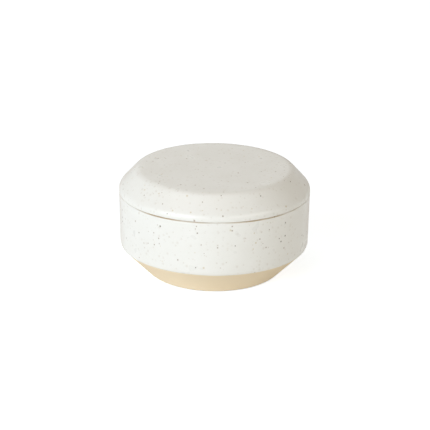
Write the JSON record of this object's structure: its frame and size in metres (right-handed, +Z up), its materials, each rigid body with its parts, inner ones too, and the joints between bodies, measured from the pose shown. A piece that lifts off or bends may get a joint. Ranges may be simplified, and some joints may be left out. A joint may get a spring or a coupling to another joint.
{
  "type": "butter keeper",
  "caption": "Round lidded stoneware butter keeper: a low pot for water, and a flat-topped lid that carries a butter bell hanging in it.",
  "frame": {"origin": "middle of the foot, on the surface that the pot stands on", "axes": "+Z up along the axis that all the pieces are turned about; the picture looks along +Y, with +X to its right"},
  "size_m": [0.1298, 0.1298, 0.074],
  "materials": {
    "white_glaze": "satin",
    "bare_stoneware": "matte"
  },
  "bodies": {
    "pot": {"water_pot": "white_glaze"},
    "lid": {"lid": "white_glaze", "butter_bell": "white_glaze"}
  },
  "joints": [
    {"name": "lid_lift", "type": "slide", "parent": "pot", "child": "lid", "axis": [0, 0, 1], "range_m": [0, 0.09]}
  ]
}
